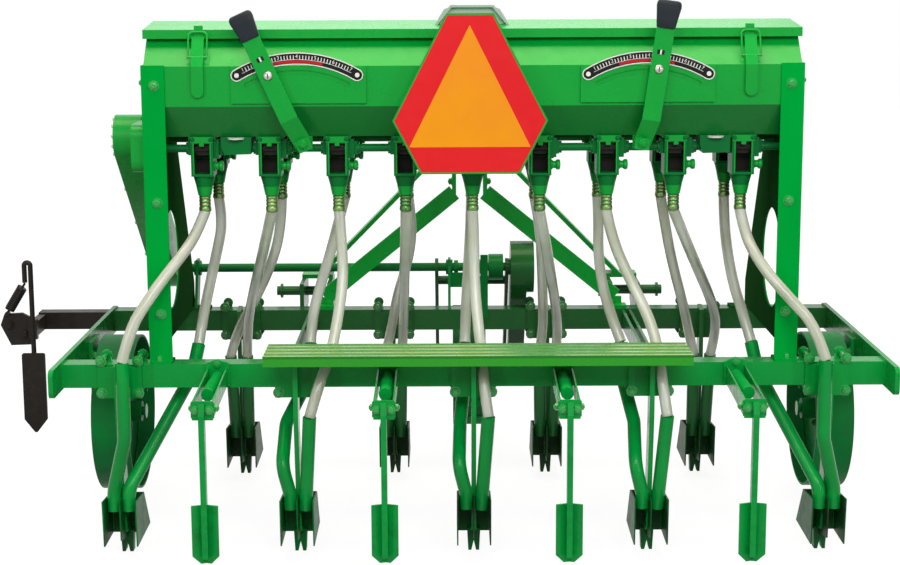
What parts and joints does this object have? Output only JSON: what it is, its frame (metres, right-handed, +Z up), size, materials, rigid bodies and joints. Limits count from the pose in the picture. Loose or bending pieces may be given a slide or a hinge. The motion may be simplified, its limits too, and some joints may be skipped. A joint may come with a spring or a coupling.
{
  "type": "tine seed drill",
  "caption": "Mounted seed and fertiliser drill: twin-bar frame with tined furrow openers, hopper with metering cups, ground-drive wheel, step board and row marker.",
  "frame": {"origin": "bottom centre of the whole drill, on the ground under the opener points", "axes": "+Z up, +Y forward towards the tractor, +X to the right of the machine"},
  "size_m": [2.372, 1.6, 1.3969],
  "materials": {
    "green_paint": "gloss",
    "hopper_paint": "gloss",
    "wheel_paint": "satin",
    "black_paint": "satin",
    "plate_paint": "satin",
    "zinc_steel": "satin",
    "cup_metal": "matte",
    "grey_plastic": "matte",
    "black_rubber": "matte",
    "clear_hose": "gloss"
  },
  "bodies": {
    "frame": {"rear_bar": "green_paint", "front_bar": "green_paint", "side_members": "green_paint", "inner_longitudinals": "green_paint", "hitch_plates": "green_paint", "lower_link_pins": "zinc_steel", "mast_legs": "green_paint", "top_link_clevis": "green_paint", "mast_braces": "green_paint", "hopper": "hopper_paint", "lid_hinge_brackets": "green_paint", "lid_latches": "zinc_steel", "hopper_side_plates": "green_paint", "quadrant_plates": "green_paint", "rate_levers": "green_paint", "lever_grips": "black_rubber", "slow_vehicle_plate": "plate_paint", "feed_cups": "cup_metal", "tine_shanks": "green_paint", "tine_clamps": "green_paint", "furrow_openers": "green_paint", "seed_tubes": "green_paint", "step_board": "green_paint", "covering_arms": "green_paint", "covering_springs": "green_paint", "covering_tines": "green_paint", "gauge_wheel_brackets": "green_paint", "cross_shaft_bearings": "green_paint", "main_chain_case": "green_paint", "rear_hose_1": "clear_hose", "rear_hose_2": "clear_hose", "rear_hose_3": "clear_hose", "rear_hose_4": "clear_hose", "rear_hose_5": "clear_hose", "rear_hose_6": "clear_hose", "rear_hose_7": "clear_hose", "rear_hose_8": "clear_hose", "rear_hose_9": "clear_hose", "front_hose_1": "clear_hose", "front_hose_2": "clear_hose", "front_hose_3": "clear_hose", "front_hose_4": "clear_hose", "front_hose_5": "clear_hose", "front_hose_6": "clear_hose", "front_hose_7": "clear_hose", "front_hose_8": "clear_hose", "front_hose_9": "clear_hose"},
    "lid": {"hopper_lid": "hopper_paint", "lid_handle": "grey_plastic"},
    "rear_feed": {"rear_feed_shaft": "zinc_steel"},
    "front_feed": {"front_feed_shaft": "zinc_steel"},
    "cross_drive": {"cross_shaft": "zinc_steel"},
    "float_arm": {"drive_arm": "green_paint", "drive_chain_case": "green_paint"},
    "ground_wheel": {"drive_wheel": "wheel_paint"},
    "left_wheel": {"left_gauge_wheel": "wheel_paint"},
    "right_wheel": {"right_gauge_wheel": "wheel_paint"},
    "marker": {"marker_tube": "black_paint", "marker_tine": "black_paint", "marker_spring": "black_paint"}
  },
  "joints": [
    {"name": "lid_hinge", "type": "hinge", "parent": "frame", "child": "lid", "pos_m": [0.138, -0.057, 1.299], "axis": [-1, 0, 0], "range_deg": [0, 100]},
    {"name": "drive_arm_float", "type": "hinge", "parent": "frame", "child": "float_arm", "pos_m": [0.138, 0.33, 0.607], "axis": [1, 0, 0], "range_deg": [0, 20]},
    {"name": "ground_wheel_spin", "type": "hinge", "parent": "float_arm", "child": "ground_wheel", "pos_m": [0.138, 0.61, 0.25], "axis": [-1, 0, 0], "continuous": true},
    {"name": "cross_shaft_spin", "type": "hinge", "parent": "frame", "child": "cross_drive", "pos_m": [0.138, 0.33, 0.607], "axis": [-1, 0, 0], "continuous": true},
    {"name": "rear_feed_spin", "type": "hinge", "parent": "frame", "child": "rear_feed", "pos_m": [0.138, -0.37, 1.028], "axis": [-1, 0, 0], "continuous": true},
    {"name": "front_feed_spin", "type": "hinge", "parent": "frame", "child": "front_feed", "pos_m": [0.138, -0.1, 1.028], "axis": [-1, 0, 0], "continuous": true},
    {"name": "left_wheel_spin", "type": "hinge", "parent": "frame", "child": "left_wheel", "pos_m": [-0.819, -0.07, 0.275], "axis": [-1, 0, 0], "continuous": true},
    {"name": "right_wheel_spin", "type": "hinge", "parent": "frame", "child": "right_wheel", "pos_m": [1.095, -0.07, 0.275], "axis": [-1, 0, 0], "continuous": true},
    {"name": "marker_slide", "type": "slide", "parent": "frame", "child": "marker", "axis": [-1, 0, 0], "range_m": [-0.03, 0.3]}
  ],
  "couplings": [
    {"joint": "cross_shaft_spin", "follows": "ground_wheel_spin", "ratio": 1},
    {"joint": "rear_feed_spin", "follows": "ground_wheel_spin", "ratio": -0.5},
    {"joint": "front_feed_spin", "follows": "ground_wheel_spin", "ratio": -0.5}
  ]
}
